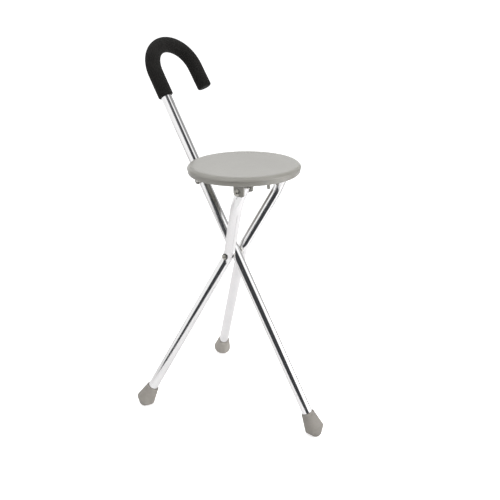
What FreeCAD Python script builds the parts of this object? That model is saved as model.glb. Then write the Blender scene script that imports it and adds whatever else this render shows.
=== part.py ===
import FreeCAD, Part
import math
import os

# Walking stick seat: a crook-handled stick (the main tube) crossed by two bent
# leg tubes on one pivot bolt, with a round moulded seat hinged on the tops of
# the two leg tubes and hooked at its rear edge over a pin through the main tube.
#
# Frame: millimetres, +Z up, the X-Z plane is the plane in which the stick folds,
# the handle leans to -X, the stick's own foot stands at +X, the two leg tubes
# stand at -X, one on each side of the fold plane (-Y left, +Y right).
# Origin: centre of the bounding box, on the ground.

V = FreeCAD.Vector

# ---------------------------------------------------------------- dimensions
X_OFF = 35.0            # shifts the model so that the box centre is on x = 0

TUBE_D = 22.0           # outside diameter of every tube
MAIN_WALL = 1.5
LEG_WALL = 1.2

TILT_MAIN = 30.6        # main tube from vertical, leaning to -X at the top (deg)
TILT_LEG = 23.5         # leg tubes from vertical in side view, to +X at the top

PIVOT_X = -24.0 + X_OFF
PIVOT_Z = 366.0

FOOT_RING_Z = 16.7      # height of the widest ring of each foot above ground
FOOT_R = 20.5           # widest radius of a foot
FOOT_DOME = 18.0        # depth of the bottom below the ring, along the tube
FOOT_CONE = 38.0        # slope of the cone under the ring (deg from the tube)
FOOT_EDGE = 1.6         # rounding of the widest ring
FOOT_COLLAR_H = 37.5    # collar edge above the widest ring, along the tube
FOOT_HOLE_END = -5.0    # bottom of the socket, from the widest ring
DISC_T = 2.0
DISC_R = 10.9

LEG_FOOT_Y = 137.0      # sideways place of the leg feet
LEG_TOP_Y = 67.5        # sideways place of the leg tops
LEG_PIVOT_Y = 21.85     # vertex of the bend beside the main tube
LEG_BEND_R = 45.0
LEG_TOP_BEND_R = 110.0
LEG_TOP_BEND_U = 139.6  # vertex of the upper bend, from the pivot
HINGE_U = 172.3         # seat hinge, from the pivot along the leg
LEG_END_U = 184.6

CROOK_S = 823.0         # where the crook starts, along the main tube from ground
CROOK_R = 59.0
CROOK_ARC = 177.2       # how far the crook turns (deg)
CROOK_SIDE = 87.8       # direction the crook hooks to, from the folding plane (deg)
CROOK_TAIL = 44.0       # straight end of the crook's tube
GRIP_S = 772.0          # lower edge of the foam grip
GRIP_R = 15.6
GRIP_END_T = 3.0        # closed end of the grip, past the end plug

SEAT_X = -2.0 + X_OFF
SEAT_TOP_Z = 555.0
SEAT_R = 110.0
SEAT_EDGE_H = 16.5      # height of the rolled rim
SEAT_SHOULDER = 9.2     # radius of the rounded shoulder
SEAT_SHOULDER_END = 66.0  # slope where the shoulder turns into the edge (deg)
SEAT_EDGE_R = 2.2       # rounding of the outermost edge
SEAT_BAND = 0.9         # how far the band under the edge is set back
SEAT_LIP_R = 3.4        # rounding of the lower lip
SEAT_SKIN = 3.0
SEAT_DISH = 1.6

SEAT_RISE_X = 0.0090    # the seat sits a little out of level: rise per mm to +X
SEAT_RISE_Y = 0.0118    # and per mm to +Y
SEAT_RISE_0 = 0.5

LUG_BACK = 8.9          # lug edge behind the hinge
LUG_FRONT = 13.3        # lug edge in front of the hinge
LUG_BELOW = 7.2         # lug bottom under the hinge
LUG_T_OUT = 3.6         # thickness of the outer lugs
LUG_T_IN = 5.0          # thickness of the inner lugs
HOUSING_UP = 12.3       # lower edge of the block between the lugs, above the hinge
HOUSING_R = 17.95       # room for the tube's end to turn in
LUG_GAP = 0.3           # side gap between lug and tube
HINGE_PIN_R = 3.0
HINGE_HOLE_R = 3.06

PIVOT_PIN_R = 3.0
PIVOT_GAP = 0.3         # side gap between the main tube and each spacer
PIVOT_SPACER_R = 8.0
PIVOT_WASHER_R = 6.4
PIVOT_WASHER_T = 1.6    # from the tube's side to the washer's flat face
SLEEVE_R = 4.5
SLEEVE_BORE_R = 3.06

LATCH_Z = 506.5
LATCH_PIN_R = 3.0
LATCH_PIN_HALF = 19.3
ARM_IN = 12.7
ARM_OUT = 17.7

CLIP_X = 22.0           # front clip for the closed main tube, from the hinge
CLIP_BACK_X = -64.0     # rear clip, from the hinge
CLIP_IN = 11.4          # inner face of a clip finger, from the middle
CLIP_BELOW = 5.0        # finger bottom under the hinge height

os.makedirs("parts", exist_ok=True)

ta = math.radians(TILT_MAIN)
tb = math.radians(TILT_LEG)
D_MAIN = V(-math.sin(ta), 0, math.cos(ta))
D_LEG = V(math.sin(tb), 0, math.cos(tb))
N_LEG = V(math.cos(tb), 0, -math.sin(tb))
PIVOT = V(PIVOT_X, 0, PIVOT_Z)
S_PIVOT = PIVOT_Z / math.cos(ta)
MAIN_0 = PIVOT - D_MAIN * S_PIVOT       # axis of the main tube at the ground
HINGE = PIVOT + D_LEG * HINGE_U
YAX = V(0, 1, 0)


def on_main(s):
    return MAIN_0 + D_MAIN * s


def unit(v):
    w = V(v)
    w.normalize()
    return w


def rounded_path(pts, radii):
    """Wire of straight runs joined by tangent arcs."""
    edges = []
    here = pts[0]
    for i in range(1, len(pts) - 1):
        a = unit(pts[i - 1] - pts[i])
        b = unit(pts[i + 1] - pts[i])
        half = a.getAngle(b) / 2.0
        r = radii[i - 1]
        t = r / math.tan(half)
        p1 = pts[i] + a * t
        p2 = pts[i] + b * t
        bis = unit(a + b)
        centre = pts[i] + bis * (r / math.sin(half))
        mid = centre - bis * r
        edges.append(Part.LineSegment(here, p1).toShape())
        edges.append(Part.Arc(p1, mid, p2).toShape())
        here = p2
    edges.append(Part.LineSegment(here, pts[-1]).toShape())
    return Part.Wire(edges)


def sweep(path, start, direction, r):
    prof = Part.Wire([Part.Circle(start, direction, r).toShape()])
    return path.makePipeShell([prof], True, False)


def cyl(r, h, base, axis):
    return Part.makeCylinder(r, h, base, axis)


def ycyl(r, x, z, y0, y1):
    return Part.makeCylinder(r, abs(y1 - y0), V(x, min(y0, y1), z), YAX)


def ring(r_out, r_in, x, z, y0, y1):
    return ycyl(r_out, x, z, y0, y1).cut(ycyl(r_in, x, z, min(y0, y1) - 1, max(y0, y1) + 1))


def plate_xz(points, y0, y1):
    pts = [V(p[0], min(y0, y1), p[1]) for p in points]
    w = Part.makePolygon(pts + [pts[0]])
    return Part.Face(w).extrude(V(0, abs(y1 - y0), 0))


def domed(r, h, edge, x, z, y, side):
    """Domed head on the face at y, standing out to the given side."""
    rr = (r * r + h * h) / (2.0 * h)
    dome = Part.makeSphere(rr, V(x, y + side * (edge + h - rr), z))
    if side > 0:
        band = ycyl(r, x, z, y, y + edge + h + 1)
    else:
        band = ycyl(r, x, z, y - edge - h - 1, y)
    return band.common(dome)


PARTS = []


def keep(name, shape):
    if isinstance(shape, list):
        shape = Part.makeCompound(shape)
    solids = shape.Solids
    shape = solids[0] if len(solids) == 1 else Part.makeCompound(solids)
    PARTS.append((name, shape))
    bb = shape.BoundBox
    print("%-22s solids %d valid %s vol %.1f cm3  x %.1f..%.1f y %.1f..%.1f z %.1f..%.1f" % (
        name, len(solids), shape.isValid(), shape.Volume / 1000.0,
        bb.XMin, bb.XMax, bb.YMin, bb.YMax, bb.ZMin, bb.ZMax))
    return shape


# ------------------------------------------------------------------ main tube
s_end = (FOOT_RING_Z) / math.cos(ta) + FOOT_HOLE_END + DISC_T
main_start = on_main(s_end)
crook_in = on_main(CROOK_S)
cs = math.radians(CROOK_SIDE)
ca = math.radians(CROOK_ARC)
HOOK = V(math.cos(ta), 0, math.sin(ta)) * math.cos(cs) + YAX * math.sin(cs)
crook_c = crook_in + HOOK * CROOK_R
crook_top = crook_c + HOOK * (-CROOK_R * math.cos(ca / 2)) + D_MAIN * (CROOK_R * math.sin(ca / 2))
crook_out = crook_c + HOOK * (-CROOK_R * math.cos(ca)) + D_MAIN * (CROOK_R * math.sin(ca))
D_TAIL = HOOK * math.sin(ca) + D_MAIN * math.cos(ca)
crook_end = crook_out + D_TAIL * CROOK_TAIL


def crook_wire(first, last):
    return Part.Wire([
        Part.LineSegment(first, crook_in).toShape(),
        Part.Arc(crook_in, crook_top, crook_out).toShape(),
        Part.LineSegment(crook_out, last).toShape()])


main_outer = sweep(crook_wire(main_start, crook_end), main_start, D_MAIN, TUBE_D / 2)
main_inner = sweep(crook_wire(main_start - D_MAIN * 1.0, crook_end + D_TAIL * 1.0),
                   main_start - D_MAIN * 1.0, D_MAIN, TUBE_D / 2 - MAIN_WALL)
latch_s = LATCH_Z / math.cos(ta)
LATCH = on_main(latch_s)
main_tube = main_outer.cut(main_inner)
main_tube = main_tube.cut(ycyl(SLEEVE_R, PIVOT_X, PIVOT_Z, -20, 20))
main_tube = main_tube.cut(ycyl(LATCH_PIN_R, LATCH.x, LATCH.z, -20, 20))
keep("main_tube", main_tube)

# ------------------------------------------------------------------ foam grip
grip_first = on_main(GRIP_S)
grip_last = crook_end + D_TAIL * (2.0 + GRIP_END_T)
grip = sweep(crook_wire(grip_first, grip_last), grip_first, D_MAIN, GRIP_R)
core_last = crook_end + D_TAIL * 2.0
core = sweep(crook_wire(grip_first - D_MAIN * 1.0, core_last), grip_first - D_MAIN * 1.0,
             D_MAIN, TUBE_D / 2)
keep("handle_grip", grip.cut(core))

plug = cyl(TUBE_D / 2 - MAIN_WALL, 16.0, crook_end, D_TAIL * -1.0).fuse(
    cyl(TUBE_D / 2, 2.0, crook_end, D_TAIL)).removeSplitter()
keep("handle_end_plug", plug)


# ------------------------------------------------------------------ leg tubes
def leg_point(u, y, side):
    return PIVOT + D_LEG * u + YAX * (side * y)


u_foot = -(PIVOT_Z - FOOT_RING_Z) / math.cos(tb)


def leg_parts(side):
    ring_c = leg_point(u_foot, LEG_FOOT_Y, side)
    vert = leg_point(0, LEG_PIVOT_Y, side)
    axis_low = unit(vert - ring_c)
    start = ring_c + axis_low * (FOOT_HOLE_END + DISC_T)
    top_bend = leg_point(LEG_TOP_BEND_U, LEG_TOP_Y, side)
    end = leg_point(LEG_END_U, LEG_TOP_Y, side)
    path = rounded_path([start, vert, top_bend, end], [LEG_BEND_R, LEG_TOP_BEND_R])
    outer = sweep(path, start, axis_low, TUBE_D / 2)
    s2 = start - axis_low * 1.0
    path2 = rounded_path([s2, vert, top_bend, end + D_LEG * 1.0], [LEG_BEND_R, LEG_TOP_BEND_R])
    inner = sweep(path2, s2, axis_low, TUBE_D / 2 - LEG_WALL)
    tube = outer.cut(inner)
    tube = tube.cut(ycyl(SLEEVE_R, PIVOT_X, PIVOT_Z, side * 10, side * 38))
    tube = tube.cut(ycyl(HINGE_PIN_R, HINGE.x, HINGE.z, side * 50, side * 82))
    return tube, ring_c, axis_low, outer


left_tube, left_ring, left_axis, left_outer = leg_parts(-1)
right_tube, right_ring, right_axis, right_outer = leg_parts(1)
keep("left_leg_tube", left_tube)
keep("right_leg_tube", right_tube)


# ------------------------------------------------------------------- feet
def foot(ring_c, axis):
    """Bell-shaped ferrule, turned about the tube axis, with a small worn flat
    on the ground."""
    # profile in local r, h: h along the axis, 0 at the widest ring
    # bottom: cone under the ring, then a ball; all arcs and lines are tangent
    al = math.radians(FOOT_CONE)
    # ball tangent to the cone line that starts at the ring
    rt = (FOOT_R / math.tan(al) - FOOT_DOME) / (1 / math.tan(al) + math.tan(al) - 1 / math.cos(al))
    rho = rt / math.cos(al)
    ht = -(FOOT_R - rt) / math.tan(al)
    hc = ht + rt * math.tan(al)
    mid_a = (math.pi / 2 - al) / 2
    ball = Part.Arc(V(0, hc - rho, 0), V(rho * math.sin(mid_a), hc - rho * math.cos(mid_a), 0), V(rt, ht, 0))
    wall = math.radians(10.6)
    e = FOOT_EDGE
    low = V(FOOT_R - e * math.sin(al), -e * math.cos(al), 0)
    high = V(FOOT_R - e * math.sin(wall), e * math.cos(wall), 0)
    edge = Part.Arc(low, V(FOOT_R - 0.34 * e, -0.10 * e, 0), high)
    cone = Part.LineSegment(V(rt, ht, 0), low)
    print("foot ball", round(rho, 2), "centre", round(hc, 2), "tangent r", round(rt, 2), "h", round(ht, 2))
    pts = [high, V(19.0, 8.0, 0), V(17.45, 16.0, 0), V(15.95, 24.0, 0), V(14.6, 31.0, 0), V(14.0, 34.6, 0)]
    sp = Part.BSplineCurve()
    sp.interpolate(Points=pts, InitialTangent=V(-math.sin(wall), math.cos(wall), 0), FinalTangent=V(-0.1, 1, 0))
    lip = Part.Arc(V(14.0, 34.6, 0), V(13.75, 36.7, 0), V(12.6, FOOT_COLLAR_H, 0))
    edges = [ball.toShape(), cone.toShape(), edge.toShape(), sp.toShape(), lip.toShape(),
             Part.LineSegment(V(12.6, FOOT_COLLAR_H, 0), V(11.0, FOOT_COLLAR_H, 0)).toShape(),
             Part.LineSegment(V(11.0, FOOT_COLLAR_H, 0), V(11.0, FOOT_HOLE_END, 0)).toShape(),
             Part.LineSegment(V(11.0, FOOT_HOLE_END, 0), V(0, FOOT_HOLE_END, 0)).toShape(),
             Part.LineSegment(V(0, FOOT_HOLE_END, 0), V(0, -FOOT_DOME, 0)).toShape()]
    face = Part.Face(Part.Wire(Part.__sortEdges__(edges)))
    body = face.revolve(V(0, 0, 0), V(0, 1, 0), 360)
    rot = FreeCAD.Rotation(V(0, 1, 0), axis)
    body.Placement = FreeCAD.Placement(ring_c, rot)
    body = body.copy()
    box = Part.makeBox(200, 200, 100, V(ring_c.x - 100, ring_c.y - 100, -100))
    return body.cut(box)


main_ring = on_main(FOOT_RING_Z / math.cos(ta))
keep("main_foot", foot(main_ring, D_MAIN))
keep("left_foot", foot(left_ring, left_axis))
keep("right_foot", foot(right_ring, right_axis))

keep("main_foot_disc", cyl(DISC_R, DISC_T, main_ring + D_MAIN * FOOT_HOLE_END, D_MAIN))
keep("leg_foot_discs", [
    cyl(DISC_R, DISC_T, left_ring + left_axis * FOOT_HOLE_END, left_axis),
    cyl(DISC_R, DISC_T, right_ring + right_axis * FOOT_HOLE_END, right_axis)])

# ------------------------------------------------------------------- pivot
px, pz = PIVOT_X, PIVOT_Z
# centre of the leg tube where the bolt passes, at the inside of the bend
slope_low = (LEG_FOOT_Y - LEG_PIVOT_Y) / abs(u_foot)
slope_up = (LEG_TOP_Y - LEG_PIVOT_Y) / LEG_TOP_BEND_U
a_low, a_up = math.atan(slope_low), math.atan(slope_up)
c_dist = LEG_BEND_R / math.cos((a_low + a_up) / 2)
c_tilt = (a_low - a_up) / 2
c_u = c_dist * math.sin(-c_tilt) * -1.0
c_y = LEG_PIVOT_Y + c_dist * math.cos(c_tilt)
leg_y = c_y - math.sqrt(LEG_BEND_R ** 2 - c_u ** 2)
y_in = leg_y - TUBE_D / 2
y_out = leg_y + TUBE_D / 2
print("leg centre at the pivot", round(leg_y, 3), "inner", round(y_in, 3), "outer", round(y_out, 3))
keep("pivot_sleeve", ring(SLEEVE_R, SLEEVE_BORE_R, px, pz, -TUBE_D / 2, TUBE_D / 2))
leg_sleeves = []
spacers = []
washers = []
for side, outer in ((-1, left_outer), (1, right_outer)):
    leg_sleeves.append(ring(SLEEVE_R, PIVOT_PIN_R, px, pz, side * (y_in - 2), side * (y_out + 2)).common(outer))
    spacers.append(ring(PIVOT_SPACER_R, PIVOT_PIN_R, px, pz, side * (TUBE_D / 2 + PIVOT_GAP), side * (y_in + 1.6)).cut(outer))
    washers.append(ring(PIVOT_WASHER_R, PIVOT_PIN_R, px, pz, side * (y_out - 1.2), side * (y_out + PIVOT_WASHER_T)).cut(outer))
keep("leg_pivot_sleeves", leg_sleeves)
keep("pivot_spacers", spacers)
keep("pivot_washers", washers)
y_head = y_out + PIVOT_WASHER_T
bolt = ycyl(PIVOT_PIN_R, px, pz, -y_head - 1.0, y_head + 5.0)
head = domed(5.2, 1.7, 1.2, px, pz, -y_head, -1)
bolt = bolt.fuse(head)
bolt = bolt.cut(ycyl(1.5, px, pz, -y_head - 5, -y_head - 1.5)).removeSplitter()
keep("pivot_bolt", bolt)
nut_y = y_head
hexa = []
for k in range(6):
    a = math.radians(60 * k + 12)
    hexa.append((px + 5.6 * math.cos(a), pz + 5.6 * math.sin(a)))
nut = plate_xz(hexa, nut_y, nut_y + 4.6)
nut = nut.common(ycyl(5.45, px, pz, nut_y, nut_y + 4.6))
nut = nut.fuse(domed(4.7, 3.6, 0.4, px, pz, nut_y + 4.2, 1))
nut = nut.cut(ycyl(PIVOT_PIN_R, px, pz, nut_y - 1, y_head + 5.0)).removeSplitter()
keep("pivot_cap_nut", nut)

# --------------------------------------------------------------- seat hinges
hx, hz = HINGE.x, HINGE.z
rivets = []
hinge_washers = []
plugs = []
y_tube_in = LEG_TOP_Y - TUBE_D / 2
y_tube_out = LEG_TOP_Y + TUBE_D / 2
lug_o0 = y_tube_out + LUG_GAP
lug_o1 = lug_o0 + LUG_T_OUT
lug_i1 = y_tube_in - LUG_GAP
lug_i0 = lug_i1 - LUG_T_IN
for side in (-1, 1):
    shank = ycyl(HINGE_PIN_R, hx, hz, side * (lug_i0 - 1.6), side * (lug_o1 + 1.6))
    h_out = domed(5.3, 1.3, 0.8, hx, hz, side * (lug_o1 + 1.1), side)
    h_in = domed(4.8, 1.2, 0.8, hx, hz, side * (lug_i0 - 1.1), -side)
    r = shank.fuse(h_out).fuse(h_in)
    # the hollow end of the tubular rivet
    r = r.cut(ycyl(1.8, hx, hz, side * (lug_o1 - 4), side * (lug_o1 + 6)))
    rivets.append(r.removeSplitter())
    hinge_washers.append(ring(6.2, HINGE_PIN_R, hx, hz, side * (lug_o1 + 0.3), side * (lug_o1 + 1.1)))
    hinge_washers.append(ring(5.6, HINGE_PIN_R, hx, hz, side * (lug_i0 - 0.3), side * (lug_i0 - 1.1)))
    end = leg_point(LEG_END_U, LEG_TOP_Y, side)
    p = cyl(TUBE_D / 2 - LEG_WALL, 8.8, end - D_LEG * 8.8, D_LEG)
    p = p.fuse(cyl(TUBE_D / 2, 1.0, end, D_LEG)).removeSplitter()
    plugs.append(p)
keep("hinge_rivets", rivets)
keep("hinge_washers", hinge_washers)
keep("leg_top_plugs", plugs)

# ------------------------------------------------------------------ latch pin
lx, lz = LATCH.x, LATCH.z
pin = ycyl(LATCH_PIN_R, lx, lz, -LATCH_PIN_HALF, LATCH_PIN_HALF)
pin = pin.makeChamfer(0.6, [e for e in pin.Edges if isinstance(e.Curve, Part.Circle)])
keep("seat_latch_pin", pin)
keep("latch_pin_collars", [ring(5.6, LATCH_PIN_R, lx, lz, -12.3, -11.0),
                           ring(5.6, LATCH_PIN_R, lx, lz, 11.0, 12.3)])

# ----------------------------------------------------------------------- seat
zt = SEAT_TOP_Z
R = SEAT_R
sh = SEAT_SHOULDER
zb = zt - SEAT_EDGE_H


def rz(r, z):
    return V(SEAT_X + r, 0, z)


def arc_pt(cr, cz, rad, deg):
    a = math.radians(deg)
    return rz(cr + rad * math.sin(a), cz + rad * math.cos(a))


se = math.radians(SEAT_SHOULDER_END)
er = SEAT_EDGE_R
crest_r = R - er - (sh - er) * math.sin(se)
e_cr = R - er
e_cz = zt - sh + (sh - er) * math.cos(se)
band_r = R - SEAT_BAND
lip = SEAT_LIP_R
# outer skin: shallow dish, crest, rounded shoulder, edge, set-back band, lower lip
outer_edges = [
    Part.Arc(rz(0, zt - SEAT_DISH), rz(crest_r * 0.5, zt - SEAT_DISH * 0.73), rz(crest_r, zt)).toShape(),
    Part.Arc(rz(crest_r, zt), arc_pt(crest_r, zt - sh, sh, SEAT_SHOULDER_END / 2),
             arc_pt(crest_r, zt - sh, sh, SEAT_SHOULDER_END)).toShape(),
    Part.Arc(arc_pt(crest_r, zt - sh, sh, SEAT_SHOULDER_END), arc_pt(e_cr, e_cz, er, (SEAT_SHOULDER_END + 90.0) / 2),
             rz(R, e_cz)).toShape(),
    Part.Arc(rz(R, e_cz), arc_pt(R - 0.7, e_cz, 0.7, 135), rz(R - 0.7, e_cz - 0.7)).toShape(),
    Part.LineSegment(rz(R - 0.7, e_cz - 0.7), rz(band_r, e_cz - 0.9)).toShape(),
    Part.Arc(rz(band_r, e_cz - 0.9), rz(band_r - 0.1, (e_cz - 0.9 + zb + lip) / 2), rz(band_r - 0.5, zb + lip)).toShape(),
    Part.Arc(rz(band_r - 0.5, zb + lip), arc_pt(band_r - 0.5 - lip, zb + lip, lip, 135),
             rz(band_r - 0.5 - lip, zb)).toShape(),
    Part.LineSegment(rz(band_r - 0.5 - lip, zb), rz(0, zb)).toShape(),
    Part.LineSegment(rz(0, zb), rz(0, zt - SEAT_DISH)).toShape()]
solid_disc = Part.Face(Part.Wire(outer_edges)).revolve(V(SEAT_X, 0, 0), V(0, 0, 1), 360)
cav_r = R - 7.2
zi = zt - SEAT_SKIN
cav_edges = [
    Part.Arc(rz(0, zi - SEAT_DISH), rz(48, zi - SEAT_DISH * 0.72), rz(96, zi - 0.2)).toShape(),
    Part.Arc(rz(96, zi - 0.2), arc_pt(96, zi - 0.2 - (cav_r - 96), cav_r - 96, 45),
             rz(cav_r, zi - 0.2 - (cav_r - 96))).toShape(),
    Part.LineSegment(rz(cav_r, zi - 0.2 - (cav_r - 96)), rz(cav_r, zb - 2)).toShape(),
    Part.LineSegment(rz(cav_r, zb - 2), rz(0, zb - 2)).toShape(),
    Part.LineSegment(rz(0, zb - 2), rz(0, zi - SEAT_DISH)).toShape()]
cavity = Part.Face(Part.Wire(cav_edges)).revolve(V(SEAT_X, 0, 0), V(0, 0, 1), 360)
seat = solid_disc.cut(cavity)

# ribs: two rings and eight radial ribs, 10 mm deep under the skin
z_rib = zt - 14.0
z_up = zt - SEAT_SKIN - 0.6
ribs = []
for rr in (34.0, 70.0):
    ringrib = Part.makeCylinder(rr + 1.2, z_up + 2 - z_rib, V(SEAT_X, 0, z_rib)).cut(
        Part.makeCylinder(rr - 1.2, z_up + 4 - z_rib, V(SEAT_X, 0, z_rib - 1)))
    ribs.append(ringrib)
for k in range(8):
    b = Part.makeBox(72.0, 2.2, z_up + 2 - z_rib, V(33.6, -1.1, z_rib))
    b.rotate(V(0, 0, 0), V(0, 0, 1), 45 * k + 22.5)
    b.translate(V(SEAT_X, 0, 0))
    ribs.append(b)
ribset = ribs[0]
for r in ribs[1:]:
    ribset = ribset.fuse(r)
ribset = ribset.common(Part.makeCylinder(R - 5.0, 60, V(SEAT_X, 0, zt - 60)))
ribset = ribset.common(solid_disc)
seat = seat.fuse(ribset)
seat.rotate(V(SEAT_X, 0, zt), V(0, 1, 0), -math.degrees(math.atan(SEAT_RISE_X)))
seat.rotate(V(SEAT_X, 0, zt), V(1, 0, 0), math.degrees(math.atan(SEAT_RISE_Y)))
seat.translate(V(0, 0, SEAT_RISE_0))


def rise(x, y):
    """How far the seat's skin lies above its level height at a place."""
    return SEAT_RISE_0 + SEAT_RISE_X * (x - SEAT_X) + SEAT_RISE_Y * y


def lug_outer(y0, y1, top):
    """Side plate outside the tube: straight sides, round lower corners."""
    y = min(y0, y1)
    c1, r1 = hx - LUG_BACK + LUG_BELOW, LUG_BELOW
    r2 = 4.2
    c2, z2 = hx + LUG_FRONT - r2, hz - LUG_BELOW + r2
    q = math.sqrt(0.5)
    a0, a1, a2 = V(hx - LUG_BACK, y, hz), V(c1 - r1 * q, y, hz - r1 * q), V(c1, y, hz - r1)
    b0, b1, b2 = V(c2, y, hz - LUG_BELOW), V(c2 + r2 * q, y, z2 - r2 * q), V(c2 + r2, y, z2)
    t0, t1 = V(hx + LUG_FRONT, y, top), V(hx - LUG_BACK, y, top)
    edges = [Part.Arc(a0, a1, a2).toShape(), Part.LineSegment(a2, b0).toShape(), Part.Arc(b0, b1, b2).toShape(),
             Part.LineSegment(b2, t0).toShape(), Part.LineSegment(t0, t1).toShape(), Part.LineSegment(t1, a0).toShape()]
    return Part.Face(Part.Wire(edges)).extrude(V(0, abs(y1 - y0), 0))


def lug_inner(y0, y1, top):
    """Side plate inside the tube: shorter in front, round under the hinge."""
    f = LUG_FRONT - 0.4
    plate = plate_xz([(hx - LUG_BACK, top), (hx + f, top), (hx + f, hz - 1.2), (hx + f - 0.5, hz - 2.1),
                      (hx + f - 1.6, hz - 2.6), (hx - 4.0, hz - 2.6), (hx - LUG_BACK, hz + 2.0)], y0, y1)
    return plate.fuse(ycyl(7.0, hx, hz, y0, y1))


def housing(y0, y1, top):
    """Block over the tube's end, hollowed so that the end can turn."""
    y = min(y0, y1)
    ra = HOUSING_R
    xf = math.sqrt(ra ** 2 - HOUSING_UP ** 2)
    zb_ = math.sqrt(ra ** 2 - LUG_BACK ** 2)
    p = [V(hx + LUG_FRONT, y, top), V(hx + LUG_FRONT, y, hz + HOUSING_UP), V(hx + xf, y, hz + HOUSING_UP),
         V(hx + ra * math.cos(math.radians(80)), y, hz + ra * math.sin(math.radians(80))),
         V(hx - LUG_BACK, y, hz + zb_), V(hx - LUG_BACK, y, top)]
    edges = [Part.LineSegment(p[0], p[1]).toShape(), Part.LineSegment(p[1], p[2]).toShape(),
             Part.Arc(p[2], p[3], p[4]).toShape(), Part.LineSegment(p[4], p[5]).toShape(),
             Part.LineSegment(p[5], p[0]).toShape()]
    return Part.Face(Part.Wire(edges)).extrude(V(0, abs(y1 - y0), 0))


for side in (-1, 1):
    seat = seat.cut(ycyl(HOUSING_R, hx, hz, side * (lug_i1 - 0.5), side * (lug_o0 + 0.5)))
    top = z_up + 0.8 + rise(hx, side * LEG_TOP_Y)
    block = housing(side * (lug_i1 - 1.0), side * (lug_o0 + 1.0), top)
    block = block.fuse(lug_outer(side * lug_o0, side * lug_o1, top))
    block = block.fuse(lug_inner(side * lug_i1, side * lug_i0, top))
    seat = seat.fuse(block.removeSplitter())

# latch arms: two plates astride the main tube, with a hook over the pin
ratio = (90.0 + TILT_LEG) / (TILT_MAIN + TILT_LEG)
travel = []
for al in (0.0, 0.7, 1.4, 2.2, 3.0, 4.0, 5.0):
    a = math.radians(al)
    ph = math.radians(al * ratio)
    d = V(-math.sin(ta - a), 0, math.cos(ta - a))
    p = PIVOT + d * (latch_s - S_PIVOT)
    rel = p - HINGE
    back = rel.x * -math.cos(ph) + rel.z * math.sin(ph)
    up = rel.x * math.sin(ph) + rel.z * math.cos(ph)
    travel.append((HINGE.x - back, HINGE.z + up))
slot_r = LATCH_PIN_R + 0.3
for side in (-1, 1):
    y0, y1 = side * ARM_IN, side * ARM_OUT
    arm = plate_xz([(SEAT_X - 84, z_up + 0.8), (SEAT_X - 102.5, z_up + 0.2), (SEAT_X - 106.0, zt - 12.0),
                    (SEAT_X - 110.6, zt - 22.0), (lx - 6.6, lz + 12.0), (lx - 6.6, lz - 2.0),
                    (lx - 4.6, lz - 6.0), (lx + 0.5, lz - 7.2), (lx + 6.8, lz - 4.0), (lx + 6.8, lz + 12.0),
                    (SEAT_X - 88, zt - 20.0), (SEAT_X - 84, zt - 16.0)], y0, y1)
    cutters = [ycyl(slot_r, travel[0][0], travel[0][1], min(y0, y1) - 3, max(y0, y1) + 3)]
    for i in range(len(travel) - 1):
        (x1, z1), (x2, z2) = travel[i], travel[i + 1]
        dx, dz = x2 - x1, z2 - z1
        ll = math.hypot(dx, dz)
        nx, nz = -dz / ll * slot_r, dx / ll * slot_r
        cutters.append(plate_xz([(x1 + nx, z1 + nz), (x2 + nx, z2 + nz), (x2 - nx, z2 - nz), (x1 - nx, z1 - nz)],
                                min(y0, y1) - 3, max(y0, y1) + 3))
        cutters.append(ycyl(slot_r, x2, z2, min(y0, y1) - 3, max(y0, y1) + 3))
    for c in cutters:
        arm = arm.cut(c)
    biggest = max(arm.Solids, key=lambda s: s.Volume)
    seat = seat.fuse(biggest)

# two pairs of clip fingers astride the closed main tube
for cx in (hx + CLIP_X, hx + CLIP_BACK_X):
    for side in (-1, 1):
        top = z_up + 0.8 + rise(cx, side * 14.0)
        tip_r = 3.5
        tip_y = side * (CLIP_IN + tip_r)
        tip_z = hz - CLIP_BELOW + tip_r
        tip = cyl(tip_r, 3.0, V(cx - 1.5, tip_y, tip_z), V(1, 0, 0))
        y0, y1 = sorted((side * (CLIP_IN + 1.0), side * (CLIP_IN + 2 * tip_r)))
        stem = Part.makeBox(3.0, y1 - y0, top - tip_z, V(cx - 1.5, y0, tip_z))
        foot_z = zt - 15.0
        base = Part.makeBox(7.0, y1 - y0 + 1.0, top - foot_z, V(cx - 3.5, min(y0, y1) - 0.5, foot_z))
        seat = seat.fuse(stem.fuse(tip).fuse(base).removeSplitter())

# hinge pin holes
for side in (-1, 1):
    seat = seat.cut(ycyl(HINGE_HOLE_R, hx, hz, side * (lug_i0 - 2), side * (lug_o1 + 2)))
seat = seat.removeSplitter()
keep("seat", seat)

# --------------------------------------------------------------------- write
lo = [1e9] * 3
hi = [-1e9] * 3
for name, shape in PARTS:
    bb = shape.BoundBox
    lo = [min(lo[0], bb.XMin), min(lo[1], bb.YMin), min(lo[2], bb.ZMin)]
    hi = [max(hi[0], bb.XMax), max(hi[1], bb.YMax), max(hi[2], bb.ZMax)]
    shape.exportStep("parts/%s.step" % name)
print("nodes", len(PARTS))
print("box", [round(v, 2) for v in lo], [round(v, 2) for v in hi], "centre x", round((lo[0] + hi[0]) / 2, 3))
print("pivot", PIVOT, "hinge", HINGE, "latch", LATCH, "fold deg", TILT_MAIN + TILT_LEG,
      "flip deg", 90 + TILT_LEG, "ratio", round(ratio, 5))
print("feet", main_ring, left_ring, right_ring)
print("hinge lug y", lug_i0, lug_i1, lug_o0, lug_o1)
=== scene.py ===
import bpy
import bmesh
import math
import random
from mathutils import Vector, Matrix, noise


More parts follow.
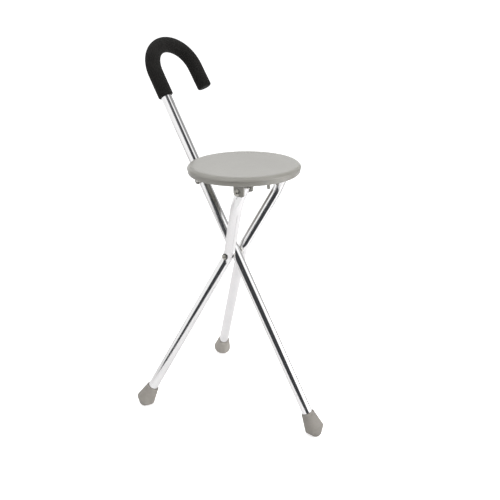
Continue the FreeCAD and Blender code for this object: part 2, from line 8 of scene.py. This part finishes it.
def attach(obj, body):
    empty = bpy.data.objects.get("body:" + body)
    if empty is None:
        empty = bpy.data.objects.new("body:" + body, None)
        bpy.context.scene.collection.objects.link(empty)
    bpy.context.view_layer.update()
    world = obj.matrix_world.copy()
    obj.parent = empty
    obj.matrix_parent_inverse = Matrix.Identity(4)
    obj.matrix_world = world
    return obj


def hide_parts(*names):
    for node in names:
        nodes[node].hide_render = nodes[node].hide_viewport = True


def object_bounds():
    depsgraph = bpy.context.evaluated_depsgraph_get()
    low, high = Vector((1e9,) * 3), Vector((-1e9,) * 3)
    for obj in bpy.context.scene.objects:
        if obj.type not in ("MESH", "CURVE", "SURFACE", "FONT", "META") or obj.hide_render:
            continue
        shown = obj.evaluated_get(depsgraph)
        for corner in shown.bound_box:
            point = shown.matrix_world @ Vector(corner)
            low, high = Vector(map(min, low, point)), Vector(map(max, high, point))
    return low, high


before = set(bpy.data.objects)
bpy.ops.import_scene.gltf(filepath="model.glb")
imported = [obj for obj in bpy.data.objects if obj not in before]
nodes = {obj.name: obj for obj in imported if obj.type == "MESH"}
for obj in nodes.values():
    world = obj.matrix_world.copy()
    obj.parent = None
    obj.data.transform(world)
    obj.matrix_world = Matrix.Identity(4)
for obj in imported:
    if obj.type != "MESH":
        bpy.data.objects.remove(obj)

CAD_LO, CAD_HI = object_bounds()
CAD_LO, CAD_HI = list(CAD_LO), list(CAD_HI)
random.seed(7)

# ------------------------------------------------------------ shared sizes
MM = 0.001
X_OFF = 35.0
TA = math.radians(30.6)
TB = math.radians(23.5)
D_MAIN = Vector((-math.sin(TA), 0, math.cos(TA)))
D_LEG = Vector((math.sin(TB), 0, math.cos(TB)))
YV = Vector((0, 1, 0))
PIVOT = Vector((-24.0 + X_OFF, 0, 366.0))
M0 = PIVOT - D_MAIN * (366.0 / math.cos(TA))
CROOK_S, CROOK_R, CROOK_TAIL, GRIP_S, GRIP_R = 823.0, 59.0, 44.0, 772.0, 15.6
CROOK_SIDE, CROOK_ARC = math.radians(87.8), math.radians(177.2)
RING_Z, FOOT_R, FOOT_DOME = 16.7, 20.5, 18.0
SEAT_X, SEAT_Z, SEAT_R = -2.0 + X_OFF, 555.0, 110.0


# ------------------------------------------------------------------ camera
def make_camera():
    e, a, r = math.radians(22.128), math.radians(36.302), math.radians(-0.21)
    fwd = Vector((-math.sin(a) * math.cos(e), math.cos(a) * math.cos(e), -math.sin(e)))
    right = Vector((math.cos(a), math.sin(a), 0))
    down = fwd.cross(right)
    rr = right * math.cos(r) + down * math.sin(r)
    dd = right * -math.sin(r) + down * math.cos(r)
    data = bpy.data.cameras.new("photo_camera")
    data.sensor_fit = "HORIZONTAL"
    data.sensor_width = 36.0
    data.lens = 590.02 / 500.0 * 36.0
    data.clip_start, data.clip_end = 0.05, 60.0
    cam = bpy.data.objects.new("photo_camera", data)
    bpy.context.scene.collection.objects.link(cam)
    m = Matrix((rr, -dd, -fwd)).transposed().to_4x4()
    m.translation = Vector((667.80 + X_OFF, -891.28, 828.35)) * MM
    cam.matrix_world = m
    bpy.context.scene.camera = cam


make_camera()


# --------------------------------------------------------------- materials
class Mat:
    """Small helper around one material's node tree."""

    def __init__(self, name):
        self.mat = bpy.data.materials.new(name)
        self.mat.use_nodes = True
        self.t = self.mat.node_tree
        self.bsdf = self.t.nodes["Principled BSDF"]
        self.coord = self.t.nodes.new("ShaderNodeTexCoord").outputs["Object"]

    def link(self, a, b):
        self.t.links.new(a, b)

    def set(self, **kw):
        names = {"rough": "Roughness", "metal": "Metallic", "spec": "Specular IOR Level", "coat": "Coat Weight",
                 "coat_rough": "Coat Roughness", "sheen": "Sheen Weight", "sheen_rough": "Sheen Roughness",
                 "aniso": "Anisotropic", "ior": "IOR", "sss": "Subsurface Weight"}
        for lit_shade_k, v in kw.items():
            self.bsdf.inputs[names[lit_shade_k]].default_value = v

    def color(self, c):
        self.bsdf.inputs["Base Color"].default_value = (*c, 1)

    def mapping(self, rot=(0, 0, 0), scale=(1, 1, 1), loc=(0, 0, 0)):
        n = self.t.nodes.new("ShaderNodeMapping")
        n.inputs["Rotation"].default_value = rot
        n.inputs["Scale"].default_value = scale
        n.inputs["Location"].default_value = loc
        self.link(self.coord, n.inputs["Vector"])
        return n.outputs["Vector"]

    def noise(self, vec, scale, detail=3.0, rough=0.55, dist=0.0):
        n = self.t.nodes.new("ShaderNodeTexNoise")
        n.inputs["Scale"].default_value = scale
        n.inputs["Detail"].default_value = detail
        n.inputs["Roughness"].default_value = rough
        n.inputs["Distortion"].default_value = dist
        self.link(vec if vec is not None else self.coord, n.inputs["Vector"])
        return n.outputs["Fac"]

    def voronoi(self, vec, scale, feature="F1", smooth=None):
        n = self.t.nodes.new("ShaderNodeTexVoronoi")
        n.feature = feature
        n.inputs["Scale"].default_value = scale
        self.link(vec if vec is not None else self.coord, n.inputs["Vector"])
        return n.outputs["Distance"]

    def ramp(self, fac, stops):
        n = self.t.nodes.new("ShaderNodeValToRGB")
        els = n.color_ramp.elements
        while len(els) > 1:
            els.remove(els[-1])
        els[0].position, els[0].color = stops[0][0], self._c(stops[0][1])
        for p, c in stops[1:]:
            e = els.new(p)
            e.color = self._c(c)
        self.link(fac, n.inputs["Fac"])
        return n.outputs["Color"]

    @staticmethod
    def _c(c):
        return (c, c, c, 1) if isinstance(c, (int, float)) else (*c, 1)

    def math(self, op, a, b=None, clamp=False):
        n = self.t.nodes.new("ShaderNodeMath")
        n.operation = op
        n.use_clamp = clamp
        for i, x in enumerate((a, b)):
            if x is None:
                continue
            if isinstance(x, (int, float)):
                n.inputs[i].default_value = x
            else:
                self.link(x, n.inputs[i])
        return n.outputs[0]

    def mix(self, fac, a, b, mode="MIX"):
        n = self.t.nodes.new("ShaderNodeMix")
        n.data_type = "RGBA"
        n.blend_type = mode
        f, ca, cb = n.inputs[0], n.inputs[6], n.inputs[7]
        for s, x in ((f, fac), (ca, a), (cb, b)):
            if isinstance(x, (int, float)):
                s.default_value = x if s is f else (x, x, x, 1)
            elif isinstance(x, tuple):
                s.default_value = (*x, 1)
            else:
                self.link(x, s)
        return n.outputs[2]

    def bump(self, height, strength, dist, prev=None):
        n = self.t.nodes.new("ShaderNodeBump")
        n.inputs["Strength"].default_value = strength
        n.inputs["Distance"].default_value = dist
        self.link(height, n.inputs["Height"])
        if prev is not None:
            self.link(prev, n.inputs["Normal"])
        return n.outputs["Normal"]

    def out_normal(self, n):
        self.link(n, self.bsdf.inputs["Normal"])

    def out_color(self, c):
        self.link(c, self.bsdf.inputs["Base Color"])

    def out_rough(self, r):
        self.link(r, self.bsdf.inputs["Roughness"])


def tube_material(name, tilt_y):
    """Bright polished aluminium with fine draw lines along the tube."""
    m = Mat(name)
    m.set(metal=1.0)
    along = m.mapping(rot=(0, tilt_y, 0), scale=(900, 900, 9))
    lines = m.noise(along, 1.0, 4.0, 0.6)
    wide = m.mapping(rot=(0, tilt_y, 0), scale=(60, 60, 6))
    smear = m.noise(wide, 1.0, 3.0, 0.6)
    spots = m.noise(None, 210.0, 2.0, 0.5)
    tone = m.ramp(smear, [(0.3, (0.835, 0.832, 0.836)), (0.7, (0.875, 0.87, 0.872))])
    fine = m.ramp(lines, [(0.35, 0.93), (0.65, 1.0)])
    m.out_color(m.mix(1.0, tone, fine, "MULTIPLY"))
    r = m.math("MULTIPLY_ADD", smear, 0.09)
    n = r.node
    n.inputs[2].default_value = 0.055
    r2 = m.math("MULTIPLY_ADD", spots, 0.05)
    r2.node.inputs[2].default_value = 0.0
    m.out_rough(m.math("ADD", r, r2))
    b = m.bump(lines, 0.05, 0.0002)
    b = m.bump(m.noise(wide, 0.6, 2.0), 0.05, 0.0006, b)
    m.out_normal(b)
    return m.mat


def foam_material():
    m = Mat("grip_foam")
    m.set(spec=0.16, sheen=0.03, sheen_rough=0.5)
    cells = m.voronoi(None, 950.0)
    grain = m.noise(None, 700.0, 3.0, 0.7)
    large = m.noise(None, 38.0, 3.0, 0.6)
    col = m.ramp(grain, [(0.25, (0.004, 0.0039, 0.0036)), (0.75, (0.014, 0.0132, 0.012))])
    dust = m.ramp(large, [(0.4, 0.85), (0.75, 1.25)])
    m.out_color(m.mix(1.0, col, dust, "MULTIPLY"))
    m.out_rough(m.ramp(grain, [(0.3, 0.78), (0.8, 0.95)]))
    b = m.bump(cells, 0.55, 0.0005)
    b = m.bump(grain, 0.4, 0.0005, b)
    m.out_normal(b)
    return m.mat


def seat_material():
    m = Mat("seat_moulding")
    m.set(spec=0.75)
    fine = m.noise(None, 1500.0, 2.0, 0.6)
    pebble = m.voronoi(None, 820.0)
    big = m.noise(None, 9.0, 3.0, 0.55)
    col = m.ramp(big, [(0.3, (0.226, 0.220, 0.197)), (0.7, (0.245, 0.239, 0.214))])
    speck = m.ramp(fine, [(0.3, 0.955), (0.7, 1.0)])
    m.out_color(m.mix(1.0, col, speck, "MULTIPLY"))
    m.out_rough(m.ramp(m.noise(None, 60.0, 3.0), [(0.3, 0.21), (0.7, 0.27)]))
    b = m.bump(pebble, 0.05, 0.0002)
    b = m.bump(fine, 0.04, 0.00015, b)
    m.out_normal(b)
    return m.mat


def rubber_material(name, lit_shade_k):
    """Grey ferrule rubber; each foot gets its own brightness factor, which is painted light and shade for how
    brightly that foot is lit.
    """
    m = Mat(name)
    m.set(spec=0.35)
    fine = m.noise(None, 900.0, 3.0, 0.65)
    big = m.noise(None, 45.0, 3.0, 0.6)
    col = m.ramp(big, [(0.3, (0.295 * lit_shade_k, 0.276 * lit_shade_k, 0.249 * lit_shade_k)), (0.7, (0.345 * lit_shade_k, 0.325 * lit_shade_k, 0.295 * lit_shade_k))])
    m.out_color(m.mix(1.0, col, m.ramp(fine, [(0.3, 0.9), (0.7, 1.0)]), "MULTIPLY"))
    m.out_rough(m.ramp(big, [(0.3, 0.55), (0.7, 0.7)]))
    m.out_normal(m.bump(fine, 0.2, 0.0003))
    return m.mat


def steel_material(name, tint, rough):
    m = Mat(name)
    m.set(metal=1.0)
    scr = m.noise(None, 1600.0, 3.0, 0.6)
    big = m.noise(None, 240.0, 3.0, 0.6)
    dark = tuple(x * 0.82 for x in tint)
    m.out_color(m.ramp(big, [(0.3, dark), (0.7, tint)]))
    m.out_rough(m.ramp(scr, [(0.3, rough), (0.7, rough + 0.12)]))
    m.out_normal(m.bump(scr, 0.12, 0.0002))
    return m.mat


def nylon_material(name, c):
    m = Mat(name)
    m.set(spec=0.4)
    fine = m.noise(None, 1300.0, 3.0, 0.6)
    big = m.noise(None, 120.0, 2.0, 0.5)
    m.out_color(m.ramp(big, [(0.3, tuple(x * 0.88 for x in c)), (0.7, c)]))
    m.out_rough(m.ramp(fine, [(0.3, 0.42), (0.7, 0.56)]))
    m.out_normal(m.bump(fine, 0.15, 0.0002))
    return m.mat


M_TUBE_A = tube_material("tube_main", TA)
M_TUBE_L = tube_material("tube_legs", -TB)
M_FOAM = foam_material()
M_SEAT = seat_material()
# one rubber in three copies: the per-foot brightness factors are painted light and shade
M_RUBBER = {"main": rubber_material("rubber_main", 0.80), "left": rubber_material("rubber_left", 0.93),
            "right": rubber_material("rubber_right", 1.18)}
M_STEEL = steel_material("steel_zinc", (0.62, 0.61, 0.585), 0.26)
M_RIVET = steel_material("rivet_nickel", (0.50, 0.485, 0.44), 0.3)
M_BLACK = nylon_material("nylon_black", (0.022, 0.022, 0.022))
M_WHITE = nylon_material("nylon_white", (0.68, 0.67, 0.63))


def paint(node, mat):
    o = nodes[node]
    if not o.material_slots:
        o.data.materials.append(None)
    for s in o.material_slots:
        s.link = "OBJECT"
        s.material = mat


for n in ("main_tube",):
    paint(n, M_TUBE_A)
for n in ("left_leg_tube", "right_leg_tube"):
    paint(n, M_TUBE_L)
for n in ("seat",):
    paint(n, M_SEAT)
for n in ("main", "left", "right"):
    paint(n + "_foot", M_RUBBER[n])
for n in ("main_foot_disc", "leg_foot_discs", "pivot_cap_nut", "hinge_washers", "seat_latch_pin"):
    paint(n, M_STEEL)
for n in ("pivot_bolt", "hinge_rivets"):
    paint(n, M_RIVET)
for n in ("handle_end_plug", "pivot_washers"):
    paint(n, M_BLACK)
for n in ("pivot_sleeve", "leg_pivot_sleeves", "pivot_spacers", "latch_pin_collars", "leg_top_plugs"):
    paint(n, M_WHITE)
paint("handle_grip", M_FOAM)


# ------------------------------------------------------------ mesh helpers
def new_object(name, verts, faces, mat, smooth=True):
    me = bpy.data.meshes.new(name)
    me.from_pydata([tuple(v) for v in verts], [], faces)
    me.update()
    bm = bmesh.new()
    bm.from_mesh(me)
    bmesh.ops.recalc_face_normals(bm, faces=bm.faces)
    bm.to_mesh(me)
    bm.free()
    me.materials.append(mat)
    if smooth:
        me.polygons.foreach_set("use_smooth", [True] * len(me.polygons))
    o = bpy.data.objects.new(name, me)
    bpy.context.scene.collection.objects.link(o)
    return o


def frame_axes(axis):
    a = axis.normalized()
    ref = Vector((0, 1, 0)) if abs(a.y) < 0.9 else Vector((1, 0, 0))
    u = (ref - a * ref.dot(a)).normalized()
    return u, a.cross(u)


def rings_to_mesh(rings, closed_ends=(True, True)):
    """rings: lists of equally many points, or a single point for a pole."""
    verts, faces, index = [], [], []
    for ring in rings:
        index.append((len(verts), len(ring)))
        verts.extend(ring)
    for (a, na), (b, nb) in zip(index, index[1:]):
        if na == 1 and nb == 1:
            continue
        n = max(na, nb)
        for lit_shade_k in range(n):
            k2 = (lit_shade_k + 1) % n
            if na == 1:
                faces.append((a, b + k2, b + lit_shade_k))
            elif nb == 1:
                faces.append((a + lit_shade_k, a + k2, b))
            else:
                faces.append((a + lit_shade_k, a + k2, b + k2, b + lit_shade_k))
    return verts, faces


# --------------------------------------------------------------- foam grip
def crook_path():
    """Centre line of the crook from the grip's lower edge: function of length -> point, direction."""
    start = M0 + D_MAIN * GRIP_S
    arc_in = M0 + D_MAIN * CROOK_S
    hook = Vector((math.cos(TA), 0, math.sin(TA))) * math.cos(CROOK_SIDE) + YV * math.sin(CROOK_SIDE)
    c = arc_in + hook * CROOK_R
    l1 = CROOK_S - GRIP_S
    l2 = CROOK_R * CROOK_ARC
    arc_out = c - hook * (CROOK_R * math.cos(CROOK_ARC)) + D_MAIN * (CROOK_R * math.sin(CROOK_ARC))
    tail = hook * math.sin(CROOK_ARC) + D_MAIN * math.cos(CROOK_ARC)

    def at(s):
        if s <= l1:
            return start + D_MAIN * s, D_MAIN
        if s <= l1 + l2:
            f = (s - l1) / CROOK_R
            return (c - hook * (CROOK_R * math.cos(f)) + D_MAIN * (CROOK_R * math.sin(f)),
                    hook * math.sin(f) + D_MAIN * math.cos(f))
        return arc_out + tail * (s - l1 - l2), tail

    normal = D_MAIN.cross(hook).normalized()
    return at, l1 + l2 + CROOK_TAIL + 5.0, normal


def make_foam():
    at, length, normal = crook_path()
    seg = 132
    low_r, end_r = 2.6, 4.2
    stations = [(0.0, 11.04), (0.0, 12.0), (0.0, GRIP_R - low_r)]
    for lit_shade_k in range(1, 6):
        a = lit_shade_k / 6 * math.pi / 2
        stations.append((low_r * (1 - math.cos(a)), GRIP_R - low_r + low_r * math.sin(a)))
    s = low_r
    while s < length - end_r:
        stations.append((s, GRIP_R))
        s += 0.95
    for lit_shade_k in range(0, 9):
        a = lit_shade_k / 8 * math.pi / 2
        stations.append((length - end_r + end_r * math.sin(a), GRIP_R - end_r + end_r * math.cos(a)))
    for r in (9.5, 7.5, 5.5, 3.5, 1.6):
        stations.append((length + 0.35 * (1 - (r / 11.4) ** 2), r))
    rings = []
    for s, r in stations:
        p, d = at(min(s, length + 5))
        u = normal
        v = d.cross(u)
        ring = []
        for lit_shade_k in range(seg):
            a = 2 * math.pi * lit_shade_k / seg
            q = u * math.cos(a) + v * math.sin(a)
            base = p + q * r
            g = 0.0
            if r > 11.5 or s > length - 1:
                # uneven moulded surface, then the open cells of the foam
                g = 0.10 * noise.noise(base * 0.05) + 0.07 * noise.noise(base * 0.35)
                g -= 0.11 * max(0.0, noise.noise(base * 1.15) + 0.1)
                g += 0.05 * noise.noise(base * 2.1)
            ring.append((p + q * (r + g)) * MM)
        rings.append(ring)
    p, d = at(length)
    rings.append([(p + d * 0.35) * MM])
    # bore back to the lower edge
    inner = []
    p, d = at(length - 3.0)
    inner.append([p * MM])
    s = length - 3.0
    while s > 0.0:
        p, d = at(s)
        v = d.cross(normal)
        inner.append([(p + (normal * math.cos(2 * math.pi * lit_shade_k / seg) + v * math.sin(2 * math.pi * lit_shade_k / seg)) * 11.04) * MM
                      for lit_shade_k in range(seg)])
        s -= 2.4
    verts, faces = rings_to_mesh(rings)
    v2, f2 = rings_to_mesh(inner)
    off = len(verts)
    verts += v2
    faces += [tuple(i + off for i in f) for f in f2]
    # join the bore to the lower edge ring
    a0, b0 = 0, off + len(v2) - seg
    for lit_shade_k in range(seg):
        k2 = (lit_shade_k + 1) % seg
        faces.append((a0 + lit_shade_k, a0 + k2, b0 + k2, b0 + lit_shade_k))
    o = new_object("foam_sleeve", verts, faces, M_FOAM)
    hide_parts("handle_grip")
    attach(o, "main")
    return o


make_foam()


# ------------------------------------------------------------- rubber feet
def foot_profile():
    """Outer profile from the sole's centre to the collar, radius and height along the tube."""
    al = math.radians(38.0)
    rt = (FOOT_R / math.tan(al) - FOOT_DOME) / (1 / math.tan(al) + math.tan(al) - 1 / math.cos(al))
    rho = rt / math.cos(al)
    ht = -(FOOT_R - rt) / math.tan(al)
    hc = ht + rt * math.tan(al)
    pts = []
    top = math.pi / 2 - al
    for lit_shade_k in range(1, 26):
        a = top * lit_shade_k / 25
        pts.append((rho * math.sin(a), hc - rho * math.cos(a)))
    e = 1.6
    x1, y1 = FOOT_R - e * math.sin(al), -e * math.cos(al)
    for lit_shade_k in range(1, 15):
        f = lit_shade_k / 15
        pts.append((rt + (x1 - rt) * f, ht + (y1 - ht) * f))
    wall = math.radians(10.6)
    x2, y2 = FOOT_R - e * math.sin(wall), e * math.cos(wall)
    for lit_shade_k in range(0, 8):
        f = lit_shade_k / 7
        # quadratic curve over the widest edge
        cx, cy = FOOT_R + 0.10, 0.0
        pts.append(((1 - f) ** 2 * x1 + 2 * f * (1 - f) * cx + f * f * x2,
                    (1 - f) ** 2 * y1 + 2 * f * (1 - f) * cy + f * f * y2))
    side = [(x2, y2), (19.0, 8.0), (17.45, 16.0), (15.95, 24.0), (14.6, 31.0), (14.0, 34.6)]
    for (ra, ha), (rb, hb) in zip(side, side[1:]):
        n = max(2, int((hb - ha) / 0.45))
        for lit_shade_k in range(1, n + 1):
            f = lit_shade_k / n
            pts.append((ra + (rb - ra) * f, ha + (hb - ha) * f))
    for lit_shade_k in range(1, 8):
        a = lit_shade_k / 7 * math.pi / 2
        pts.append((14.0 - 1.5 * (1 - math.cos(a)), 34.6 + 2.9 * math.sin(a)))
    pts.append((11.9, 37.5))
    pts.append((11.3, 37.3))
    return pts


def foot_axes():
    ring_m = M0 + D_MAIN * (RING_Z / math.cos(TA))
    out = [("main", ring_m, D_MAIN)]
    u_foot = -(366.0 - RING_Z) / math.cos(TB)
    for name, side in (("left", -1), ("right", 1)):
        ring = PIVOT + D_LEG * u_foot + YV * (side * 137.0)
        vert = PIVOT + YV * (side * 21.85)
        out.append((name, ring, (vert - ring).normalized()))
    return out


def make_foot(name, ring_c, axis, body, seed):
    seg = 128
    u, v = frame_axes(axis)
    prof = foot_profile()
    rings = [[(ring_c + axis * -FOOT_DOME) * MM]]
    for r, h in prof:
        groove = 0.0
        # tread rings turned into the sole, and two fine grooves under the collar
        if h < -3.0:
            groove = 0.42 * max(0.0, math.cos(2 * math.pi * (h + 17.2) / 2.35) - 0.35)
        for g_h, g_w, g_d in ((31.4, 0.55, 0.32), (29.6, 0.55, 0.32), (3.1, 0.6, 0.18)):
            groove += g_d * math.exp(-((h - g_h) / g_w) ** 2)
        ring = []
        for lit_shade_k in range(seg):
            a = 2 * math.pi * lit_shade_k / seg
            q = u * math.cos(a) + v * math.sin(a)
            base = ring_c + q * r + axis * h
            n1 = 0.09 * noise.noise(base * 0.09 + Vector((seed, 0, 0)))
            n2 = 0.035 * noise.noise(base * 0.9 + Vector((seed, 3, 0)))
            p = ring_c + q * (r - groove + n1 + n2) + axis * h
            p.z = max(p.z, 0.0)
            ring.append(p * MM)
        rings.append(ring)
    # socket
    for h in (36.9, 30.0, 15.0, 0.0, -4.9):
        rings.append([(ring_c + (u * math.cos(2 * math.pi * lit_shade_k / seg) + v * math.sin(2 * math.pi * lit_shade_k / seg)) * 11.06
                       + axis * h) * MM for lit_shade_k in range(seg)])
    rings.append([(ring_c + axis * -4.9) * MM])
    verts, faces = rings_to_mesh(rings)
    verts = [Vector((p.x, p.y, max(p.z, 0.0))) for p in verts]
    o = new_object(name + "_ferrule", verts, faces, M_RUBBER[name])
    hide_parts(name + "_foot")
    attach(o, body)
    return o


for i_, (n_, c_, ax_) in enumerate(foot_axes()):
    make_foot(n_, c_, ax_, "main" if n_ == "main" else "legs", 11.0 * i_)


# ------------------------------------------------------------------ stage
def emission(name, c, s):
    m = bpy.data.materials.new(name)
    m.use_nodes = True
    t = m.node_tree
    t.nodes.clear()
    e = t.nodes.new("ShaderNodeEmission")
    e.inputs["Color"].default_value = (*c, 1)
    e.inputs["Strength"].default_value = s
    o = t.nodes.new("ShaderNodeOutputMaterial")
    t.links.new(e.outputs[0], o.inputs["Surface"])
    return m


def plain(name, c, rough):
    m = Mat(name)
    m.color(c)
    m.set(rough=rough, spec=0.0)
    return m.mat


def floor_material(name, glow):
    """White paper floor, lit from below as well."""
    m = Mat(name)
    m.color((0.85, 0.85, 0.85))
    m.set(rough=0.9, spec=0.0)
    m.bsdf.inputs["Emission Color"].default_value = (1, 1, 1, 1)
    m.bsdf.inputs["Emission Strength"].default_value = glow
    return m.mat


def stage_mesh(name, verts, faces, mat, camera=True, diffuse=True, shadow=True):
    me = bpy.data.meshes.new(name)
    me.from_pydata(verts, [], faces)
    me.materials.append(mat)
    o = bpy.data.objects.new(name, me)
    bpy.context.scene.collection.objects.link(o)
    o.visible_camera = camera
    o.visible_diffuse = diffuse
    o.visible_shadow = shadow
    return o


def bounce_material(name):
    """White floor as it lights the object: a little brighter to the right and behind."""
    m = Mat(name)
    m.set(rough=0.9, spec=0.0)
    sep = m.t.nodes.new("ShaderNodeSeparateXYZ")
    m.link(m.coord, sep.inputs[0])
    across = m.math("ADD", m.math("MULTIPLY", sep.outputs[0], 0.806), m.math("MULTIPLY", sep.outputs[1], 0.592))
    t = m.math("MULTIPLY_ADD", across, 0.45, clamp=True)
    t.node.inputs[2].default_value = 0.5
    m.out_color(m.ramp(t, [(0.0, (0.70, 0.69, 0.69)), (1.0, (0.86, 0.855, 0.86))]))
    m.link(m.ramp(t, [(0.0, (0.10, 0.097, 0.098)), (1.0, (0.24, 0.238, 0.24))]), m.bsdf.inputs["Emission Color"])
    m.bsdf.inputs["Emission Strength"].default_value = 1.0
    return m.mat


s = 14.0
fl = stage_mesh("floor", [(-s, -s, -0.0002), (s, -s, -0.0002), (s, s, -0.0002), (-s, s, -0.0002)], [(0, 1, 2, 3)],
                floor_material("floor_white", 0.62))
fl.visible_glossy = False
fl.visible_diffuse = False
# the same floor as it lights the object
fb = stage_mesh("floor_bounce", [(-s, -s, -0.0006), (s, -s, -0.0006), (s, s, -0.0006), (-s, s, -0.0006)],
                [(0, 1, 2, 3)], bounce_material("floor_bounce"), camera=False)
fb.visible_glossy = False
hx0, hy0 = -math.sin(math.radians(36.3)), math.cos(math.radians(36.3))
q0 = []
for side_, z_ in ((-16, -0.5), (16, -0.5), (16, 9.0), (-16, 9.0)):
    q0.append((hx0 * 11.0 + hy0 * side_, hy0 * 11.0 - hx0 * side_, z_))
stage_mesh("backdrop", q0, [(0, 1, 2, 3)], emission("backdrop_white", (1, 1, 1), 1.15), diffuse=False, shadow=False)
bpy.data.objects["backdrop"].visible_glossy = False

CENTRE = Vector((0.0, 0.0, 0.38))


def direction(az, el):
    a, e = math.radians(az), math.radians(el)
    return Vector((math.sin(a) * math.cos(e), -math.cos(a) * math.cos(e), math.sin(e)))


def card(name, corners, dist, rad, c=(1, 1, 1)):
    """A studio card seen only in reflections; corners are given as azimuth and elevation from the object."""
    verts = []
    for az, el in corners:
        d = direction(az, el)
        h = math.hypot(d.x, d.y)
        p = CENTRE + d * (dist / max(h, 0.35))
        p.z = max(p.z, 0.001)
        verts.append(tuple(p))
    o = stage_mesh(name, verts, [tuple(range(len(verts)))], emission(name, c, rad),
                   camera=False, diffuse=False, shadow=False)
    return o


def strip_card(name, az0, az1, lower, upper, dist, rad, c=(1, 1, 1), steps=12):
    """Curved card between two elevation lines, given as functions of azimuth."""
    verts, faces = [], []
    for i in range(steps + 1):
        az = az0 + (az1 - az0) * i / steps
        for el in (lower(az), upper(az)):
            d = direction(az, el)
            p = CENTRE + d * (dist / max(math.hypot(d.x, d.y), 0.3))
            p.z = max(p.z, 0.001)
            verts.append(tuple(p))
    for i in range(steps):
        faces.append((2 * i, 2 * i + 2, 2 * i + 3, 2 * i + 1))
    return stage_mesh(name, verts, faces, emission(name, c, rad), camera=False, diffuse=False, shadow=False)


# dark side of the studio, behind the camera, below the slanted edge of the left softbox
strip_card("flag_front", -34, 72, lambda a: -20, lambda a: min(62, 7.8 + 0.79 * a + 0.0), 1.9, 0.055, (0.95, 0.97, 1.05))
# the paper ends in front of the object: past its edge a dark skirt hangs down, and it is light below that
fx_, fy_ = math.sin(math.radians(36.3)), -math.cos(math.radians(36.3))
q = [(fx_ * along - fy_ * side, fy_ * along + fx_ * side, -0.0004)
     for along, side in ((-1.25, -14.0), (2.11, 14.0), (-14.0, 14.0), (-14.0, -14.0))]
stage_mesh("floor_gloss", q, [(0, 1, 2, 3)], bounce_material("floor_gloss"),
           camera=False, diffuse=False, shadow=False)
SKIRT = [(-34, -0.12), (-20, -0.24), (-8, -0.36), (0, -0.44), (8, -0.50), (16, -0.58), (25, -0.66), (33, -0.76),
         (44, -0.86), (54, -0.97), (66, -1.05), (78, -1.05)]
verts_ = []
for az_, z_ in SKIRT:
    d_ = direction(az_, 0)
    verts_ += [(d_.x * 1.9, d_.y * 1.9, z_), (d_.x * 1.9, d_.y * 1.9, 0.02)]
stage_mesh("skirt_front", verts_, [(2 * i, 2 * i + 2, 2 * i + 3, 2 * i + 1) for i in range(len(SKIRT) - 1)],
           emission("skirt_front", (0.95, 0.97, 1.05), 0.055), camera=False, diffuse=False, shadow=False)
# grey floor beyond the front foot
q = [(0.34, 0.40, 0.0004), (0.55, 0.40, 0.0004), (1.10, 1.70, 0.0004), (0.66, 1.70, 0.0004)]
stage_mesh("floor_grey", q, [(0, 1, 2, 3)], emission("floor_grey", (1, 0.99, 0.98), 0.35),
           camera=False, diffuse=False, shadow=False)
stage_mesh("floor_low", [(-s, -s, -1.3), (s, -s, -1.3), (s, s, -1.3), (-s, s, -1.3)], [(0, 1, 2, 3)],
           emission("floor_low", (1, 1, 1), 0.98), camera=False, diffuse=False, shadow=False)
# the studio above the dark side: it lightens slowly towards the right
for a0_, a1_, r_ in ((14, 30, 0.16), (30, 50, 0.17), (50, 66, 0.24), (66, 76, 0.42)):
    strip_card("flag_high_%d" % a0_, a0_, a1_, lambda a: min(60, 7.8 + 0.79 * a) - 0.5,
               lambda a: 57 + 0.05 * (a - 14), 1.95, r_, (0.97, 0.98, 1.03), steps=4)
# softbox on the right, grey walls behind it
strip_card("box_right", 76, 128, lambda a: -12, lambda a: 32, 1.9, 1.25)
strip_card("box_right_low", 94, 126, lambda a: -18, lambda a: 12, 1.85, 3.1)
for a0_, a1_, r_ in ((76, 84, 0.7), (84, 104, 1.2), (104, 118, 0.85), (118, 128, 0.45)):
    strip_card("wall_right_%d" % a0_, a0_, a1_, lambda a: 32, lambda a: 72, 2.0, r_, steps=4)
strip_card("wall_back", 128, 192, lambda a: -12, lambda a: 26, 2.0, 0.52)
for a0_, a1_, r_ in ((128, 160, 0.27), (160, 176, 0.5), (176, 192, 0.72)):
    strip_card("wall_back_%d" % a0_, a0_, a1_, lambda a: 26, lambda a: 72, 2.0, r_, steps=4)
# bright left side
strip_card("box_left", -168, -34, lambda a: -12, lambda a: 60, 2.0, 1.04)
# a darker, warmer shelf line in the left side
for a0_, a1_, r_ in ((-97, -80, 0.42), (-80, -60, 0.2), (-60, -44, 0.17), (-44, -33, 0.36)):
    strip_card("shelf_left_%d" % -a0_, a0_, a1_, lambda a: 8, lambda a: 24, 1.9, r_, (1.0, 0.94, 0.87), steps=4)
strip_card("box_left_high", -34, 60, lambda a: min(62, 7.8 + 0.79 * a), lambda a: 72, 2.0, 1.1)

# world and lights
w = bpy.data.worlds.new("studio")
bpy.context.scene.world = w
w.use_nodes = True
bg = w.node_tree.nodes["Background"]
bg.inputs["Color"].default_value = (1.0, 1.0, 1.0, 1)
bg.inputs["Strength"].default_value = 0.75


def area(name, az, el, dist, w_, h_, power, target=(0, 0, 0.4), c=(1, 1, 1), glossy=True):
    d = bpy.data.lights.new(name, "AREA")
    d.shape = "RECTANGLE"
    d.size, d.size_y = w_, h_
    d.energy = power
    d.color = c
    o = bpy.data.objects.new(name, d)
    bpy.context.scene.collection.objects.link(o)
    pos = Vector(target) + direction(az, el) * dist
    o.location = pos
    o.rotation_euler = (Vector(target) - pos).to_track_quat("-Z", "Y").to_euler()
    o.visible_camera = False
    o.visible_glossy = glossy
    return o


area("top_soft", 20, 82, 2.2, 1.8, 1.8, 26.0, glossy=False)
area("key_right", 100, 18, 1.9, 0.7, 1.1, 16.0, glossy=False)

bpy.context.scene.view_settings.view_transform = "Standard"
bpy.context.scene.view_settings.look = "None"
